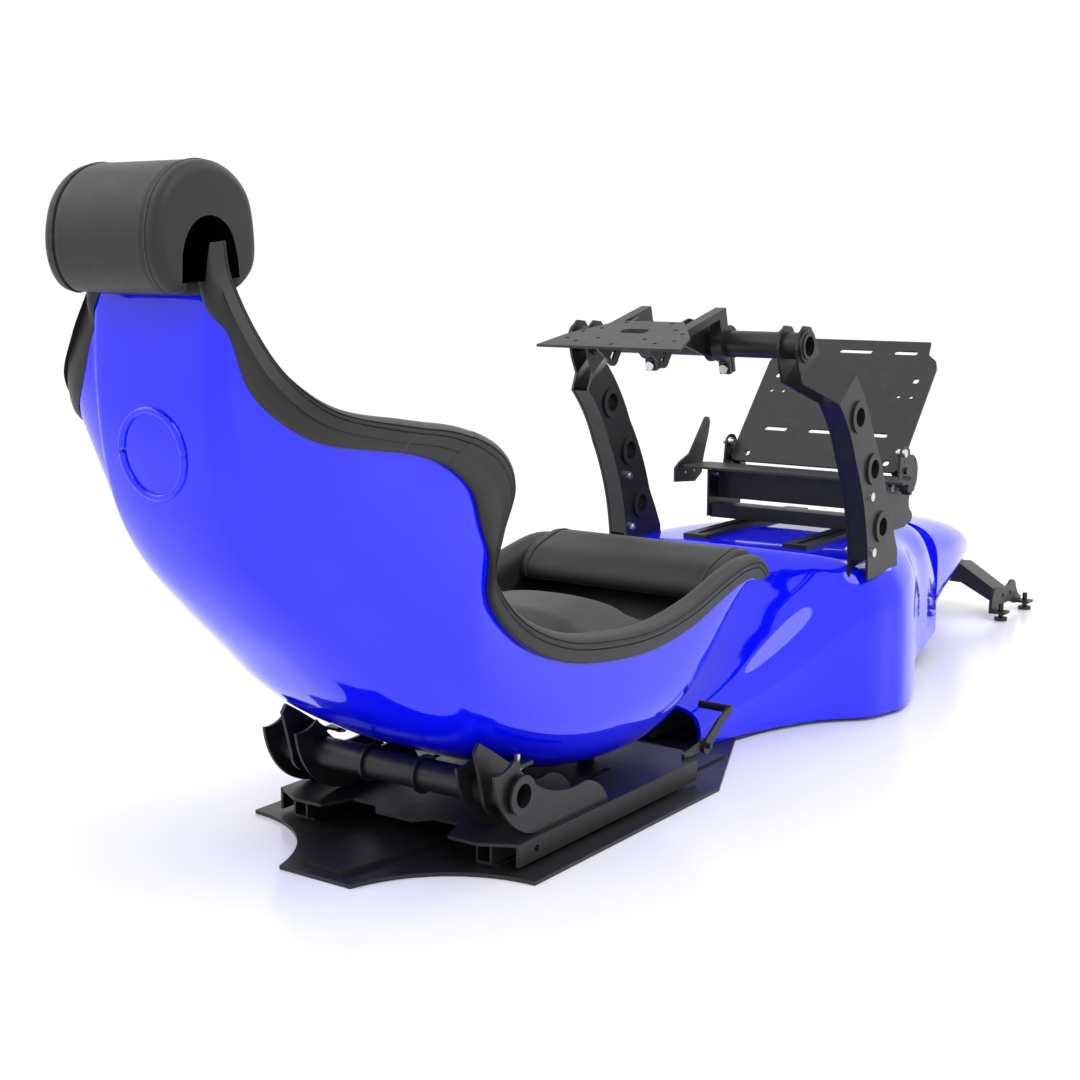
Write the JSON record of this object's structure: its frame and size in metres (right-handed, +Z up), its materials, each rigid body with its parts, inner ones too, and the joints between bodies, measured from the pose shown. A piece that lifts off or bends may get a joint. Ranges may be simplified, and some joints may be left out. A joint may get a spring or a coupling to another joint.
{
  "type": "racing simulator cockpit",
  "caption": "Single-seat racing simulator cockpit with a reclining bucket seat on a slide, a tilting wheel deck, a sliding pedal carriage with a tilting plate, and a racing-car nose fairing.",
  "frame": {"origin": "centre of the bounding box on the floor, z = 0 under the floor plate", "axes": "+X the driver's right, +Y towards the pedals and nose, +Z up"},
  "size_m": [0.536, 2.3322, 0.8334],
  "materials": {
    "black_steel": "satin",
    "grey_steel": "satin",
    "bright_steel": "brushed",
    "blue_gelcoat": "gloss",
    "charcoal_leather": "grained",
    "black_rubber": "matte",
    "black_plastic": "matte"
  },
  "bodies": {
    "chassis": {"floor_plate": "black_steel", "floor_tunnel": "black_steel", "seat_track_right": "black_steel", "seat_track_left": "black_steel", "chassis_spine": "black_steel", "arm_right_outer_plate": "black_steel", "arm_right_inner_plate": "black_steel", "arm_left_outer_plate": "black_steel", "arm_left_inner_plate": "black_steel", "arm_right_cover": "black_steel", "arm_left_cover": "black_steel", "arm_right_spacers": "black_steel", "arm_left_spacers": "black_steel", "arm_bolts": "bright_steel", "cross_tube": "black_steel", "fairing_shell": "blue_gelcoat", "nose_cone": "blue_gelcoat", "pedal_rail_right": "black_steel", "pedal_rail_left": "black_steel", "front_leg": "black_steel", "foot_bracket_right": "black_steel", "foot_bracket_left": "black_steel"},
    "seat_carriage": {"carriage_plate": "black_steel", "carriage_runners": "black_steel", "pivot_tube": "black_steel", "pivot_gusset_right": "black_steel", "pivot_gusset_left": "black_steel", "latch_bracket": "black_steel", "seat_buffers": "black_rubber"},
    "slide_latch": {"slide_latch": "black_steel"},
    "seat": {"seat_shell": "blue_gelcoat", "rim_trim_right": "charcoal_leather", "rim_trim_left": "charcoal_leather", "back_cushion": "charcoal_leather", "lumbar_cushion": "charcoal_leather", "seat_cushion": "charcoal_leather", "knee_roll": "charcoal_leather", "headrest": "charcoal_leather", "seat_bracket_right": "black_steel", "seat_bracket_left": "black_steel", "seat_bracket_bolts": "bright_steel"},
    "wheel_deck": {"wheel_plate": "grey_steel", "wheel_bracket_right": "black_steel", "wheel_bracket_left": "black_steel", "wheel_clamps": "black_steel", "wheel_clamp_bolts": "bright_steel"},
    "pedal_carriage": {"pedal_side_right": "black_steel", "pedal_side_left": "black_steel", "pedal_side_bolts": "bright_steel", "pedal_cross_bar": "black_steel", "pedal_cross_rod": "black_steel", "heel_shelf": "black_steel", "side_bracket": "black_steel"},
    "star_knob": {"star_knob": "black_plastic"},
    "pedal_plate": {"pedal_plate": "black_steel", "pedal_hinge": "black_steel"},
    "levelling_foot_right_rear": {"levelling_foot_right_rear": "black_steel"},
    "levelling_foot_right_front": {"levelling_foot_right_front": "black_steel"},
    "levelling_foot_left_rear": {"levelling_foot_left_rear": "black_steel"},
    "levelling_foot_left_front": {"levelling_foot_left_front": "black_steel"}
  },
  "joints": [
    {"name": "seat_slide", "type": "slide", "parent": "chassis", "child": "seat_carriage", "axis": [0, 1, 0], "range_m": [-0.06, 0.1]},
    {"name": "seat_recline", "type": "hinge", "parent": "seat_carriage", "child": "seat", "pos_m": [0, -0.714, 0.098], "axis": [1, 0, 0], "range_deg": [0, 10]},
    {"name": "latch_lift", "type": "hinge", "parent": "seat_carriage", "child": "slide_latch", "pos_m": [0.182, -0.25, 0.046], "axis": [1, 0, 0], "range_deg": [0, 15], "stiffness_Nm_per_rad": 1, "springref_deg": -17.19},
    {"name": "wheel_deck_tilt", "type": "hinge", "parent": "chassis", "child": "wheel_deck", "pos_m": [0, -0.008, 0.602], "axis": [1, 0, 0], "range_deg": [-14, 10]},
    {"name": "pedal_slide", "type": "slide", "parent": "chassis", "child": "pedal_carriage", "axis": [0, 1, 0], "range_m": [-0.06, 0.12]},
    {"name": "pedal_tilt", "type": "hinge", "parent": "pedal_carriage", "child": "pedal_plate", "pos_m": [0, 0.45, 0.366], "axis": [1, 0, 0], "range_deg": [-12, 15]},
    {"name": "star_knob_turn", "type": "hinge", "parent": "pedal_carriage", "child": "star_knob", "pos_m": [0.186, 0.424, 0.345], "axis": [1, 0, 0], "continuous": true},
    {"name": "foot_right_rear_height", "type": "slide", "parent": "chassis", "child": "levelling_foot_right_rear", "axis": [0, 0, 1], "range_m": [-0.012, 0.006]},
    {"name": "foot_right_front_height", "type": "slide", "parent": "chassis", "child": "levelling_foot_right_front", "axis": [0, 0, 1], "range_m": [-0.012, 0.006]},
    {"name": "foot_left_rear_height", "type": "slide", "parent": "chassis", "child": "levelling_foot_left_rear", "axis": [0, 0, 1], "range_m": [-0.012, 0.006]},
    {"name": "foot_left_front_height", "type": "slide", "parent": "chassis", "child": "levelling_foot_left_front", "axis": [0, 0, 1], "range_m": [-0.012, 0.006]}
  ]
}
